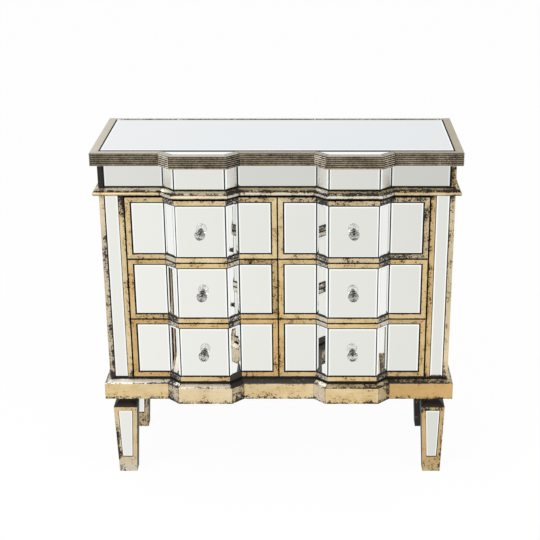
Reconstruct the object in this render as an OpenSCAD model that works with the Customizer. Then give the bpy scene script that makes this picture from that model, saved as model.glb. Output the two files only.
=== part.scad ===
// Mirrored breakfront sideboard with six drawers in two columns.
// Millimetres, Z up, the front faces -Y. The origin is on the floor, under the middle of
// the whole piece. Inside the modules Y is counted from the straight front edge of the top.
// An inset is a distance measured inwards from the outline of the top, at the front and sides.

/* [Top] */
// Width of the top over its edge moulding
top_w = 1004; // [960:1:1200]
// Depth of the top from its straight front edge to its back edge
top_d = 380; // [370:2:460]
// Height of the reeded edge moulding
edge_h = 36; // [30:1:44]
// Width of the gilt rim seen from above, at the front and sides
rim_w = 22; // [16:1:24]
// Width of the rim along the back
rim_back_w = 12; // [10:1:20]
// Height of the small round lip between the rim and the reeds
rim_lip = 3; // [2:0.5:5]
// Number of reeds on the edge moulding
reed_count = 6; // [4:1:8]
// How far the reeds stand out from the face between them
reed_relief = 1.8; // [1:0.1:2.4]
// How far the top glass lies below the rim
glass_below_rim = 1.5; // [0.5:0.5:3]

/* [Bays] */
// Width of a bay's front face, at the outline of the top
bay_w = 155; // [120:1:170]
// How far a bay stands forward; its canted sides run back at 45 degrees
bay_d = 32; // [20:1:40]

/* [Glass] */
// Thickness of the mirror glass
glass_t = 4; // [3:0.5:5]
// Gap between two panes that meet at a corner
pane_gap = 0.5; // [0.3:0.1:1]
// Dark line left between a pane and the gilt wood beside it
line_gap = 1; // [0.5:0.1:1.5]

/* [Case] */
// Inset of the gilt strips on the case and on the drawers
case_inset = 17; // [12:1:18]
// How far the glass lies behind the gilt strips
glass_recess = 3; // [1:0.5:4]
// Width of a front corner post
post_w = 66; // [54:1:80]
// Width of a gilt strip on the posts, the sides and the frieze corners
post_strip_w = 14; // [12:1:18]
// Depth of the posts and of the frieze board behind the glass
frame_d = 22; // [18:1:28]
// Thickness of the side panels, the partition and the bottom board
panel_t = 18; // [15:1:22]
// Thickness of the back panel
back_t = 6; // [4:1:9]
// How far the back of the case lies in front of the back of the top
back_inset = 8; // [4:1:14]
// Bottom board seen between the plinth moulding and the posts
base_reveal = 6.5; // [3:0.5:8]
// Frieze board seen between the drawers and the bead
top_reveal = 6.5; // [6:0.5:16]
// Height of a cross rail behind two drawer fronts
rail_h = 16; // [12:1:18]
// Depth of a cross rail
rail_d = 40; // [30:1:60]

/* [Frieze and bead] */
// Height of the mirrored frieze
frieze_h = 65; // [50:1:90]
// Height of the bead moulding with its sloping ledge
bead_h = 20; // [17:1:26]
// Height of the bead's rounded nose
nose_h = 11; // [10:0.5:14]
// Inset of the nose
bead_inset = 1.5; // [0:0.5:3]
// Inset of the ledge's front edge
ledge_inset = 6; // [3:0.5:7]
// Height of the small upright step between nose and ledge
ledge_step = 2.5; // [1:0.5:3]

/* [Plinth] */
// Height of the upright face of the plinth moulding
plinth_face_h = 49; // [40:1:70]
// Inset of that face
plinth_inset = 2.5; // [0:0.5:4]
// Height of the slope on top of the plinth moulding
plinth_slope_h = 8; // [4:1:12]
// Length of a corner block, along the front and along the side
block_l = 74; // [60:1:90]

/* [Legs] */
// Height of a leg, from the floor to the plinth
leg_h = 246; // [180:1:280]
// Width of a leg at its head
leg_w = 68; // [60:1:72]
// Depth of a leg at its head
leg_d = 54; // [48:1:70]
// From the side of the top to the leg's outer face
leg_inset_x = 21; // [19:0.5:24]
// From the outline of the top's front to the face of a front leg
leg_inset_y = 17; // [12:1:20]
// From the back of the case to the back of a rear leg
rear_leg_inset = 24; // [20:1:28]
// Taper of a leg's outer side, from head to foot
taper_out = 7; // [0:1:8]
// Taper of a leg's inner side, from head to foot
taper_in = 9.5; // [0:0.5:14]
// Taper of a leg's back, from head to foot
taper_back = 14; // [0:1:18]
// Rise and run of the sloping shoulder above a leg's head
shoulder = 16; // [10:1:18]
// Height of the neck above the shoulder
neck_h = 18; // [10:1:24]
// Width of the gilt border round a leg's mirror
leg_border = 12; // [10:1:16]
// Height of the plain foot below a leg's mirror
foot_h = 48; // [30:1:80]
// How far a leg's mirror lies behind the leg's face
leg_glass_recess = 1; // [0.5:0.5:2]

/* [Drawers] */
// Height of a drawer front
drawer_h = 179; // [168:1:210]
// Gap between two drawer fronts, one above the other
drawer_gap = 1.5; // [1:0.5:4]
// Gap between the two columns of drawer fronts
centre_gap = 3; // [2:0.5:5]
// Gap between a drawer front and the post beside it
side_gap = 3; // [2:0.5:5]
// Width of the gilt strips round a drawer front
drawer_strip_w = 14; // [12:1:20]
// Thickness of the drawer's front board
board_t = 20; // [16:1:24]
// Height of the drawer box's sides
box_h = 140; // [110:1:144]
// From the lower edge of the front up to the box
box_lift = 12; // [10:1:16]
// Depth of the drawer box behind its front board
box_d = 308; // [260:2:312]
// Running gap on each side of the drawer box
box_gap = 3; // [2:0.5:5]
// Thickness of the drawer sides
box_side_t = 14; // [12:1:16]
// Thickness of the drawer back
box_back_t = 12; // [9:1:15]
// Thickness of the drawer bottom
box_bottom_t = 6; // [4:1:8]
// Height of the drawer bottom above the lower edge of the sides
bottom_lift = 8; // [6:1:14]
// How deep the drawer bottom is let into the sides
bottom_let_in = 5; // [3:0.5:6]

/* [Runners] */
// How deep a runner's groove is cut into a drawer side
groove_d = 7; // [5:0.5:8]
// Height of the runner's groove
groove_h = 16; // [12:1:20]
// Height of a runner
runner_h = 15; // [10:0.5:15.5]
// Play between a runner and the groove, above it and beside it
runner_play = 0.3; // [0.2:0.1:0.6]
// Distance from the front board to the blind end of the groove, which is the drawer's stop
groove_stop = 8; // [5:1:20]

/* [Knobs] */
// Diameter of the cut glass ball
knob_d = 30; // [24:1:36]
// Diameter of the flat on the back of the ball
knob_flat_d = 16; // [14:1:18]
// Diameter of the metal rosette under the knob
rosette_d = 19; // [17:1:24]
// Thickness of the rosette
rosette_t = 2; // [1.5:0.5:3]
// Diameter of the metal collar between rosette and ball
collar_d = 13; // [10:1:14]
// Length of the collar
collar_l = 12; // [4:0.5:14]
// Diameter of the knob screw
screw_d = 4; // [3:0.5:5]
// How far the knob screw reaches into the ball
screw_reach = 9; // [6:1:12]
// Diameter of the knob screw's head
screw_head_d = 8; // [7:0.5:9]
// Height of the knob screw's head
screw_head_h = 3; // [2:0.5:4]
// Diameter of the hole in the front board for the screw's head
counterbore_d = 12; // [10:0.5:16]
// Depth of that hole
counterbore_l = 22; // [10:1:30]

/* [Fasteners] */
// Diameter of a leg bolt
bolt_d = 8; // [6:1:8]
// Length of a leg bolt inside the leg
bolt_in_leg = 50; // [30:1:60]
// Length of a leg bolt inside the corner block
bolt_in_block = 35; // [20:1:38]
// Diameter of a back screw
back_screw_d = 3.5; // [3:0.5:4]
// Length of a back screw
back_screw_l = 30; // [20:1:35]
// Diameter of a back screw's countersunk head
back_screw_head_d = 7; // [6:0.5:8]
// Number of back screws in each upright
back_screw_count = 4; // [3:1:6]
// From the ends of an upright to its outermost back screws
back_screw_margin = 60; // [40:5:100]
// Clearance round a screw or bolt
bore_gap = 0.1; // [0.05:0.05:0.3]
// Glue line between two pieces of wood in one assembly
glue_gap = 0.2; // [0.1:0.05:0.3]

/* [Hidden] */
$fn = 48;
ROWS = ["bottom", "middle", "top"];
COLUMNS = ["left", "right"];
PIECES = ["board", "frame", "mirrors", "box", "knob", "fittings"];
LEGS = ["front_left", "front_right", "rear_left", "rear_right"];
CASE_NODES = [
    "top_board", "top_edge_moulding", "top_mirrors", "frieze_board", "frieze_mirrors",
    "bead_moulding", "corner_posts", "case_strips", "case_mirrors", "side_panels",
    "centre_partition", "back_panel", "bottom_board", "cross_rails", "drawer_runners",
    "plinth_moulding", "plinth_blocks", "leg_mirrors", "leg_bolts", "back_screws"
];

// Facets round the ball of a knob; its front facet is half a diameter from its centre
knob_sides = 12;

gilt = "#d2b27a";
silver_glass = "#e2e7e4";
raw_wood = "#b58a5c";
black_wood = "#3a322c";
bright_metal = "#c8ccd0";
cut_glass = "#eef4f6";

// Insets and plan positions
glass_inset = case_inset + glass_recess;
core_inset = glass_inset + glass_t;
half_w = top_w / 2;
core_x = half_w - core_inset;
front_frame_y = core_inset + frame_d;
case_back_y = top_d - back_inset;
back_panel_y = case_back_y - back_t;
post_x = half_w - case_inset - post_w;
front_x0 = centre_gap / 2;
front_x1 = post_x - side_gap;
bay_x = (front_x0 + front_x1) / 2;
panel_x = core_x - panel_t;
rail_back_y = front_frame_y + rail_d;

// Heights
z_plinth_slope = leg_h + plinth_face_h;
z_plinth_top = z_plinth_slope + plinth_slope_h;
z_posts = z_plinth_top + base_reveal;
z_floor = z_posts - panel_t;
row_pitch = drawer_h + drawer_gap;
z_rows = z_posts + drawer_gap;
z_case = z_rows + len(ROWS) * row_pitch;
z_bead = z_case + top_reveal;
z_frieze = z_bead + bead_h;
z_top = z_frieze + frieze_h;
z_total = z_top + edge_h;
z_top_glass = z_total - glass_below_rim - glass_t;

// Drawer box
board_back_y = core_inset + board_t;
box_x0 = panel_t / 2 + box_gap;
box_x1 = post_x - box_gap;
box_back_y = board_back_y + box_d;
z_box = box_lift;
z_bottom = z_box + bottom_lift;
z_groove = z_box + (box_h - groove_h) / 2;
z_runner = z_groove + groove_h - runner_play - runner_h;
groove_y = board_back_y + groove_stop;

// Knob, along Y from the glass of the bay towards the user
bay_glass_y = glass_inset - bay_d;
collar_y = bay_glass_y - rosette_t;
ball_back_y = collar_y - collar_l;
ball_y = ball_back_y - sqrt(pow(knob_d / 2, 2) - pow(knob_flat_d / 2, 2));
knob_front_y = ball_y - knob_d / 2;
screw_seat_y = board_back_y - counterbore_l;

// Leg, seen from the front as the right-hand one
leg_x1 = half_w - leg_inset_x;
leg_x0 = leg_x1 - leg_w;
leg_head_z = leg_h - neck_h - shoulder;
rear_leg_y = case_back_y - rear_leg_inset - leg_d;
bolt_x = (leg_x0 + leg_x1) / 2;

// The origin lies under the middle of the whole depth, knobs included
origin_y = (knob_front_y + top_d) / 2;

// Four corners of the right-hand bay at an inset, from the centre line outwards
function bay_points(inset) =
    let (shift = inset * tan(22.5), face = bay_w / 2 - shift, foot = bay_w / 2 + bay_d - shift)
    [[bay_x - foot, inset], [bay_x - face, inset - bay_d],
     [bay_x + face, inset - bay_d], [bay_x + foot, inset]];

// The same corners on the left, in order of rising X
function left_bay_points(inset) =
    let (p = bay_points(inset)) [for (i = [3:-1:0]) [-p[i][0], p[i][1]]];

// Outline of the whole plan at an inset, with its own inset at the back
function plan(inset, back) = concat(
    [[-half_w + inset, inset]], left_bay_points(inset), bay_points(inset),
    [[half_w - inset, inset], [half_w - inset, top_d - back], [-half_w + inset, top_d - back]]);

// Front line of the right-hand drawers at an inset, cut short by a margin at both ends
function drawer_line(inset, margin) = concat(
    [[front_x0 + margin, inset]], bay_points(inset), [[front_x1 - margin, inset]]);

// Front line of the frieze glass at an inset, cut short beside the corner strips
function frieze_line(inset, end_x) = concat(
    [[-end_x, inset]], left_bay_points(inset), bay_points(inset), [[end_x, inset]]);

// Plan of one straight length between an outer and an inner line, trimmed at both ends
function length_plan(outer, inner, i, gap) =
    let (n = len(outer), j = (i + 1) % n, along = outer[j] - outer[i], trim = along / norm(along) * gap / 2)
    [outer[i] + trim, outer[j] - trim, inner[j] - trim, inner[i] + trim];

// Upright piece of one straight length, from height z0 to z1
module length_piece(outer, inner, i, gap, z0, z1) {
    translate([0, 0, z0]) linear_extrude(z1 - z0) polygon(length_plan(outer, inner, i, gap));
}

// One length of moulding: the child profile (inset, height) carried along it, mitred at its ends
module moulding_length(outer, inner, i, z0, z1) {
    along = outer[(i + 1) % len(outer)] - outer[i];
    over = bay_d;
    intersection() {
        translate([outer[i][0], outer[i][1], 0])
            rotate([90, 0, atan2(along[0], -along[1])])
                translate([0, 0, -over]) linear_extrude(norm(along) + 2 * over) children();
        length_piece(outer, inner, i, glue_gap, z0, z1);
    }
}

// A box from one corner to the other
module block(from, to) {
    translate(from) cube(to - from);
}

// The child and its mirror image on the other side of the centre line
module both_sides() {
    children();
    mirror([1, 0, 0]) children();
}

// Cylinder along Y between two depths
module rod_y(x, z, y0, y1, d) {
    translate([x, y0, z]) rotate([-90, 0, 0]) cylinder(h = y1 - y0, d = d);
}

// Flat panel of the top, inside the edge moulding
module top_board() {
    color(black_wood) translate([0, 0, z_top]) linear_extrude(z_top_glass - z_top)
        polygon(plan(rim_w + glue_gap, rim_back_w + glue_gap));
}

// Profile of the edge moulding: a flat top, a small round lip and a face of round reeds
module edge_profile() {
    pitch = (edge_h - rim_lip) / reed_count;
    translate([reed_relief, z_top]) square([rim_w, edge_h]);
    for (k = [0:reed_count - 1])
        translate([pitch / 2, z_top + pitch * (k + 0.5)]) circle(d = pitch);
    translate([rim_lip / 2, z_total - rim_lip / 2]) circle(d = rim_lip);
}

// Reeded moulding in mitred lengths round the top
module top_edge_moulding() {
    outer = plan(0, 0);
    inner = plan(rim_w, rim_back_w);
    color(gilt) for (i = [0:len(outer) - 1])
        moulding_length(outer, inner, i, z_top, z_total) edge_profile();
}

// One large pane with a straight front edge, and a small pane in front of it in each bay
module top_mirrors() {
    x = half_w - rim_w - line_gap;
    y0 = rim_w + line_gap / 2;
    bay = bay_points(rim_w + line_gap);
    foot = bay[3][0] - bay_x;
    color(silver_glass) {
        block([-x, y0, z_top_glass], [x, top_d - rim_back_w - line_gap, z_top_glass + glass_t]);
        both_sides() translate([0, 0, z_top_glass]) linear_extrude(glass_t)
            polygon([[bay_x - foot, rim_w - line_gap / 2], bay[1], bay[2],
                     [bay_x + foot, rim_w - line_gap / 2]]);
    }
}

// Board behind the frieze glass, with a block glued on for each bay
module frieze_board() {
    color(black_wood) {
        block([-core_x, core_inset, z_case], [core_x, front_frame_y, z_top]);
        both_sides() bay_block(z_case, z_top);
    }
}

// Solid wood block that fills a bay in front of a flat board
module bay_block(z0, z1) {
    bay = bay_points(core_inset);
    translate([0, 0, z0]) linear_extrude(z1 - z0)
        polygon([[bay[0][0] + glue_gap, core_inset - glue_gap], bay[1], bay[2],
                 [bay[3][0] - glue_gap, core_inset - glue_gap]]);
}

// Panes of the frieze: nine along the front and one on each side
module frieze_mirrors() {
    end_x = half_w - case_inset - post_strip_w - line_gap;
    outer = frieze_line(glass_inset, end_x);
    inner = frieze_line(core_inset, end_x);
    z0 = z_frieze + line_gap;
    color(silver_glass) {
        for (i = [0:len(outer) - 2])
            length_piece(outer, inner, i, pane_gap, z0, z_top);
        both_sides() side_pane(z0, z_top);
    }
}

// Pane on the right-hand side of the case, between the two upright strips
module side_pane(z0, z1) {
    block([core_x, case_inset + post_strip_w + line_gap, z0],
          [half_w - glass_inset, case_back_y - post_strip_w - line_gap, z1]);
}

// Profile of the bead: a round nose with a sloping ledge above it
module bead_profile() {
    r = nose_h / 2;
    translate([bead_inset + r, z_bead + r]) circle(d = nose_h);
    polygon([[bead_inset + r, z_bead], [core_inset, z_bead], [core_inset, z_frieze], [glass_inset, z_frieze],
             [ledge_inset, z_bead + nose_h + ledge_step], [ledge_inset, z_bead + r]]);
}

// Bead moulding in mitred lengths along the front and both sides
module bead_moulding() {
    outer = plan(0, back_inset);
    inner = plan(core_inset, back_inset);
    color(gilt) for (i = [0:len(outer) - 1])
        if (i != len(outer) - 2)
            moulding_length(outer, inner, i, z_bead, z_frieze) bead_profile();
}

// Profile of the plinth: an upright face with a slope above it
module plinth_profile() {
    polygon([[plinth_inset, leg_h], [core_inset, leg_h], [core_inset, z_plinth_top],
             [case_inset, z_plinth_top], [plinth_inset, z_plinth_slope]]);
}

// Plinth moulding in mitred lengths along the front and both sides
module plinth_moulding() {
    outer = plan(0, back_inset);
    inner = plan(core_inset, back_inset);
    color(gilt) for (i = [0:len(outer) - 1])
        if (i != len(outer) - 2)
            moulding_length(outer, inner, i, leg_h, z_plinth_top) plinth_profile();
}

// Wooden posts at the two front corners, behind the glass and the strips
module corner_posts() {
    color(black_wood) both_sides()
        block([post_x, core_inset, z_posts], [core_x, front_frame_y, z_case]);
}

// Gilt strips of the right-hand corner between two heights
module corner_strips(z0, z1) {
    x1 = half_w - case_inset;
    corner = case_inset + post_strip_w;
    difference() {
        block([x1 - post_strip_w, case_inset, z0], [x1, corner, z1]);
        block([x1 - post_strip_w - 1, core_inset, z0 - 1], [core_x, corner + 1, z1 + 1]);
    }
    block([core_x, case_back_y - post_strip_w, z0], [x1, case_back_y, z1]);
}

// Gilt strips: corner and rear strips of case and frieze, and the inner strip of each post
module case_strips() {
    color(gilt) both_sides() {
        corner_strips(z_posts, z_bead);
        corner_strips(z_frieze, z_top);
        block([post_x, case_inset, z_posts], [post_x + post_strip_w, core_inset, z_bead]);
    }
}

// Tall panes on the two posts and on the two sides of the case
module case_mirrors() {
    z0 = z_posts + line_gap;
    z1 = z_bead;
    color(silver_glass) both_sides() {
        block([post_x + post_strip_w + line_gap, glass_inset, z0],
              [half_w - case_inset - post_strip_w - line_gap, core_inset, z1]);
        side_pane(z0, z1);
    }
}

// Heights of the back screws in an upright
function back_screw_zs() =
    [for (k = [0:back_screw_count - 1]) z_posts + back_screw_margin
        + k * (z_top - z_posts - 2 * back_screw_margin) / (back_screw_count - 1)];

// Pilot or clearance holes for the back screws of one upright
module back_screw_holes(x, gap) {
    for (z = back_screw_zs()) back_screw(x, z, gap);
}

// One countersunk screw through the back panel, its head flush with the back
module back_screw(x, z, gap) {
    head_l = (back_screw_head_d - back_screw_d) / 2;
    rod_y(x, z, case_back_y - back_screw_l - gap, case_back_y, back_screw_d + 2 * gap);
    translate([x, case_back_y - head_l, z]) rotate([-90, 0, 0])
        cylinder(h = head_l, d1 = back_screw_d + 2 * gap, d2 = back_screw_head_d + 2 * gap);
}

// Side panels of the case
module side_panels() {
    color(raw_wood) both_sides() difference() {
        block([panel_x, front_frame_y, z_posts], [core_x, back_panel_y, z_top]);
        back_screw_holes(core_x - panel_t / 2, bore_gap);
    }
}

// Partition between the two columns of drawers
module centre_partition() {
    color(raw_wood) difference() {
        block([-panel_t / 2, front_frame_y, z_posts], [panel_t / 2, back_panel_y, z_top]);
        back_screw_holes(0, bore_gap);
    }
}

// Thin panel screwed to the back edges of the sides and the partition
module back_panel() {
    color(raw_wood) difference() {
        block([-core_x, back_panel_y, z_floor], [core_x, case_back_y, z_top]);
        both_sides() back_screw_holes(core_x - panel_t / 2, bore_gap);
        back_screw_holes(0, bore_gap);
    }
}

// Countersunk screws of the back panel
module back_screws() {
    color(bright_metal) {
        both_sides() back_screw_holes(core_x - panel_t / 2, 0);
        back_screw_holes(0, 0);
    }
}

// Board under the drawers; its front edge follows the bays
module bottom_board() {
    color(black_wood) translate([0, 0, z_floor]) linear_extrude(panel_t)
        polygon(plan(core_inset, back_inset + back_t));
}

// Rails from the partition to the side panels, behind the gap between two rows
module cross_rails() {
    color(raw_wood) both_sides() for (k = [1:len(ROWS) - 1]) {
        z = z_rows + k * row_pitch - drawer_gap / 2;
        block([panel_t / 2, front_frame_y, z - rail_h / 2], [panel_x, rail_back_y, z + rail_h / 2]);
    }
}

// Hardwood runners on the partition and on the side panels, two for each drawer
module drawer_runners() {
    tongue = groove_d - runner_play;
    color(raw_wood) both_sides() for (k = [0:len(ROWS) - 1]) {
        z = z_rows + k * row_pitch + z_runner;
        block([panel_t / 2, groove_y, z], [box_x0 + tongue, back_panel_y, z + runner_h]);
        block([box_x1 - tongue, groove_y, z], [panel_x, back_panel_y, z + runner_h]);
    }
}

// Corner blocks that take the leg bolts, and the rail along the back of the plinth
module plinth_blocks() {
    rail_y = case_back_y - panel_t;
    color(raw_wood) {
        both_sides() difference() {
            union() {
                block([core_x - block_l, core_inset, leg_h], [core_x, core_inset + block_l, z_floor]);
                block([core_x - block_l, rail_y - glue_gap - block_l, leg_h],
                      [core_x, rail_y - glue_gap, z_floor]);
            }
            leg_bolt(leg_inset_y, bore_gap);
            leg_bolt(rear_leg_y, bore_gap);
        }
        block([-core_x, rail_y, leg_h], [core_x, case_back_y, z_floor]);
    }
}

// One double-ended bolt, up from the middle of a leg's neck into the corner block
module leg_bolt(leg_y, gap) {
    translate([bolt_x, leg_y + leg_d / 2, leg_h - bolt_in_leg - gap])
        cylinder(h = bolt_in_leg + bolt_in_block + 2 * gap, d = bolt_d + 2 * gap);
}

// Leg bolts
module leg_bolts() {
    color(bright_metal) both_sides() for (y = [leg_inset_y, rear_leg_y]) leg_bolt(y, 0);
}

// Inner and outer edge of a leg's front at a height, drawn in by an amount
function leg_in(z, by) = leg_x0 + taper_in * (1 - z / leg_head_z) + by;
function leg_out(z, by) = leg_x1 - taper_out * (1 - z / leg_head_z) - by;

// Front of a leg's mirror, from foot to head, drawn in by an amount
function leg_pane(by) =
    let (z0 = foot_h + by, z1 = leg_head_z - leg_border - by, border = leg_border + by)
    [[leg_in(z0, border), z0], [leg_out(z0, border), z0],
     [leg_out(z1, border), z1], [leg_in(z1, border), z1]];

// Turns a front view drawn in X and Z into a slab between two depths
module front_slab(y0, y1) {
    translate([0, y1, 0]) rotate([90, 0, 0]) linear_extrude(y1 - y0) children();
}

// Tapered right-hand leg with a hipped shoulder, a neck and a pocket for its mirror
module leg(y) {
    z1 = leg_head_z;
    z2 = z1 + shoulder;
    back = y + leg_d;
    color(gilt) difference() {
        intersection() {
            front_slab(y, back) polygon([
                [leg_in(0, 0), 0], [leg_out(0, 0), 0], [leg_x1, z1], [leg_x1 - shoulder, z2],
                [leg_x1 - shoulder, leg_h], [leg_x0 + shoulder, leg_h],
                [leg_x0 + shoulder, z2], [leg_x0, z1]]);
            translate([leg_x0, 0, 0]) rotate([90, 0, 90]) linear_extrude(leg_w) polygon([
                [y, 0], [back - taper_back, 0], [back, z1], [back - shoulder, z2],
                [back - shoulder, leg_h], [y + shoulder, leg_h], [y + shoulder, z2], [y, z1]]);
        }
        front_slab(y - 1, y + leg_glass_recess + glass_t) polygon(leg_pane(0));
        leg_bolt(y, bore_gap);
    }
}

// Tapered panes let into the front faces of the four legs
module leg_mirrors() {
    color(silver_glass) both_sides() for (y = [leg_inset_y, rear_leg_y])
        front_slab(y + leg_glass_recess, y + leg_glass_recess + glass_t) polygon(leg_pane(line_gap / 2));
}

// Front board of a right-hand drawer, with the block of its bay
module drawer_board() {
    color(black_wood) difference() {
        union() {
            block([front_x0, core_inset, 0], [front_x1, board_back_y, drawer_h]);
            bay_block(0, drawer_h);
        }
        rod_y(bay_x, drawer_h / 2, core_inset - bay_d - 1, board_back_y + 1, screw_d + 2 * bore_gap);
        rod_y(bay_x, drawer_h / 2, screw_seat_y, board_back_y + 1, counterbore_d);
    }
}

// Front view of the upper, lower and upright members of a mitred frame
function frame_member(k) =
    let (x0 = front_x0, x1 = front_x1, w = drawer_strip_w, h = drawer_h, g = glue_gap)
    k == 0 ? [[x0 + g, 0], [x1 - g, 0], [x1 - w - g, w], [x0 + w + g, w]] :
    k == 1 ? [[x0 + g, h], [x0 + w + g, h - w], [x1 - w - g, h - w], [x1 - g, h]] :
    k == 2 ? [[x0, 0], [x0 + w, w], [x0 + w, h - w], [x0, h]] :
             [[x1, 0], [x1, h], [x1 - w, h - w], [x1 - w, w]];

// Mitred gilt strips round a drawer front; the long ones follow the bay
module drawer_frame() {
    outer = drawer_line(case_inset, 0);
    inner = drawer_line(core_inset, 0);
    color(gilt) {
        for (k = [0, 1]) for (i = [0:len(outer) - 2]) intersection() {
            length_piece(outer, inner, i, glue_gap, 0, drawer_h);
            front_slab(case_inset - bay_d - 1, core_inset + 1) polygon(frame_member(k));
        }
        for (k = [2, 3]) front_slab(case_inset, core_inset) polygon(frame_member(k));
    }
}

// Five panes of a drawer front; the knob's screw passes through the middle one
module drawer_mirrors() {
    margin = drawer_strip_w + line_gap;
    outer = drawer_line(glass_inset, margin);
    inner = drawer_line(core_inset, margin);
    color(silver_glass) difference() {
        for (i = [0:len(outer) - 2])
            length_piece(outer, inner, i, pane_gap, margin, drawer_h - margin);
        rod_y(bay_x, drawer_h / 2, bay_glass_y - 1, core_inset, screw_d + 2 * bore_gap);
    }
}

// Drawer box: two grooved sides, a back, and a bottom let into the sides
module drawer_box() {
    in_x0 = box_x0 + box_side_t;
    in_x1 = box_x1 - box_side_t;
    let_in = bottom_let_in;
    y1 = box_back_y;
    color(raw_wood) {
        difference() {
            for (x = [box_x0, in_x1])
                block([x, board_back_y, z_box], [x + box_side_t, y1, z_box + box_h]);
            block([in_x0 - let_in, board_back_y - 1, z_bottom],
                  [in_x1 + let_in, y1 + 1, z_bottom + box_bottom_t]);
            block([box_x0 - 1, groove_y, z_groove], [box_x0 + groove_d, y1 + 1, z_groove + groove_h]);
            block([box_x1 - groove_d, groove_y, z_groove], [box_x1 + 1, y1 + 1, z_groove + groove_h]);
        }
        block([in_x0 - let_in + glue_gap, board_back_y, z_bottom + glue_gap],
              [in_x1 + let_in - glue_gap, y1, z_bottom + box_bottom_t - glue_gap]);
        block([in_x0 + glue_gap, y1 - box_back_t, z_bottom + box_bottom_t],
              [in_x1 - glue_gap, y1, z_box + box_h]);
    }
}

// Cut glass ball with a flat back and a blind hole for its screw
module drawer_knob() {
    r = knob_d / 2;
    color(cut_glass) difference() {
        translate([bay_x, ball_y, drawer_h / 2]) rotate([90, 0, 0])
            sphere(r = r / cos(180 / knob_sides), $fn = knob_sides);
        block([bay_x - knob_d, ball_back_y, drawer_h / 2 - knob_d],
              [bay_x + knob_d, ball_back_y + knob_d, drawer_h / 2 + knob_d]);
        rod_y(bay_x, drawer_h / 2, ball_back_y - screw_reach - bore_gap, ball_back_y + 1,
              screw_d + 2 * bore_gap);
    }
}

// Rosette with its collar, and the screw that holds the knob from inside the drawer
module drawer_fittings() {
    z = drawer_h / 2;
    color(bright_metal) {
        difference() {
            union() {
                rod_y(bay_x, z, collar_y, bay_glass_y, rosette_d);
                rod_y(bay_x, z, ball_back_y, collar_y, collar_d);
            }
            rod_y(bay_x, z, ball_back_y - 1, bay_glass_y + 1, screw_d + 2 * bore_gap);
        }
        rod_y(bay_x, z, ball_back_y - screw_reach, screw_seat_y, screw_d);
        rod_y(bay_x, z, screw_seat_y, screw_seat_y + screw_head_h, screw_head_d);
    }
}

// Name of one piece of a drawer, by row and column
function piece(r, c, p) = str("drawer_", ROWS[r], "_", COLUMNS[c], "_", PIECES[p]);

// Puts a piece of the case at its place
module at_case() {
    translate([0, -origin_y, 0]) children();
}

// Puts a right-hand piece on the left or on the right
module at_side(c) {
    at_case() mirror([c == 0 ? 1 : 0, 0, 0]) children();
}

// Puts a piece of a drawer in its row and column
module at_drawer(r, c) {
    at_side(c) translate([0, 0, z_rows + r * row_pitch]) children();
}

at_case() top_board();
at_case() top_edge_moulding();
at_case() top_mirrors();
at_case() frieze_board();
at_case() frieze_mirrors();
at_case() bead_moulding();
at_case() corner_posts();
at_case() case_strips();
at_case() case_mirrors();
at_case() side_panels();
at_case() centre_partition();
at_case() back_panel();
at_case() bottom_board();
at_case() cross_rails();
at_case() drawer_runners();
at_case() plinth_moulding();
at_case() plinth_blocks();
at_case() leg_mirrors();
at_case() leg_bolts();
at_case() back_screws();
at_side(0) leg(leg_inset_y);  // leg_front_left
at_side(1) leg(leg_inset_y);  // leg_front_right
at_side(0) leg(rear_leg_y);  // leg_rear_left
at_side(1) leg(rear_leg_y);  // leg_rear_right
for (r = [0:len(ROWS) - 1]) for (c = [0:len(COLUMNS) - 1]) {
    at_drawer(r, c) drawer_board();
    at_drawer(r, c) drawer_frame();
    at_drawer(r, c) drawer_mirrors();
    at_drawer(r, c) drawer_box();
    at_drawer(r, c) drawer_knob();
    at_drawer(r, c) drawer_fittings();
}
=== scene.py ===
"""Mirrored breakfront sideboard: distressed gilding, bevelled mirror panes, cut glass knobs.

Metres, Z up, the front faces -Y. An inset is a depth measured inwards from the outline of the top.
"""
import math

import bpy
import bmesh
import numpy as np
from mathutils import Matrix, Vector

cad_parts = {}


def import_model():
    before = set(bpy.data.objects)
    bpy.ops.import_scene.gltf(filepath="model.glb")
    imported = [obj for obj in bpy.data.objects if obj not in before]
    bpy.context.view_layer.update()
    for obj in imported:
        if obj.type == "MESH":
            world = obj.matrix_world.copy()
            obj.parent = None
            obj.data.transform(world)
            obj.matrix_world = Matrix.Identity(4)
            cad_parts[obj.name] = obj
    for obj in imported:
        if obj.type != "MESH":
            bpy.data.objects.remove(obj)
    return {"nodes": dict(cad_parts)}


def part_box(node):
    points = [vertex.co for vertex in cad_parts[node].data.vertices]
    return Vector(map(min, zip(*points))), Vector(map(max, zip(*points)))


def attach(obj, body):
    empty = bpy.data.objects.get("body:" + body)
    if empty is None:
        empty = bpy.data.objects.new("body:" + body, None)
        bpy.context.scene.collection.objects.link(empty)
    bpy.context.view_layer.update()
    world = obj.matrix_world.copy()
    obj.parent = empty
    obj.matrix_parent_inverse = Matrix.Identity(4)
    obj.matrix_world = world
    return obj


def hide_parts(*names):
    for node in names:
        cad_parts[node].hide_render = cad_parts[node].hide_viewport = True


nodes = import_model()["nodes"]
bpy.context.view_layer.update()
scene = bpy.context.scene
CASE = "carcass"
ROWS = ("bottom", "middle", "top")
SIDES = {"left": -1, "right": 1}


# Carcass: side panels, partition, rails and drawer boxes are planed pine, left bare inside.
# The runners are waxed beech and the back is thin plywood. The boards behind the glass are
# stained black, so that every joint between panes and gilt wood shows as a dark line.

def rgb(red, green, blue):
    """Linear colour of a display colour given in steps of 0 to 255, by the standard curve."""
    share = np.array([red, green, blue]) / 255
    linear = np.where(share > 0.04045, ((share + 0.055) / 1.055) ** 2.4, share / 12.92)
    return (*linear.tolist(), 1.0)


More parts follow.
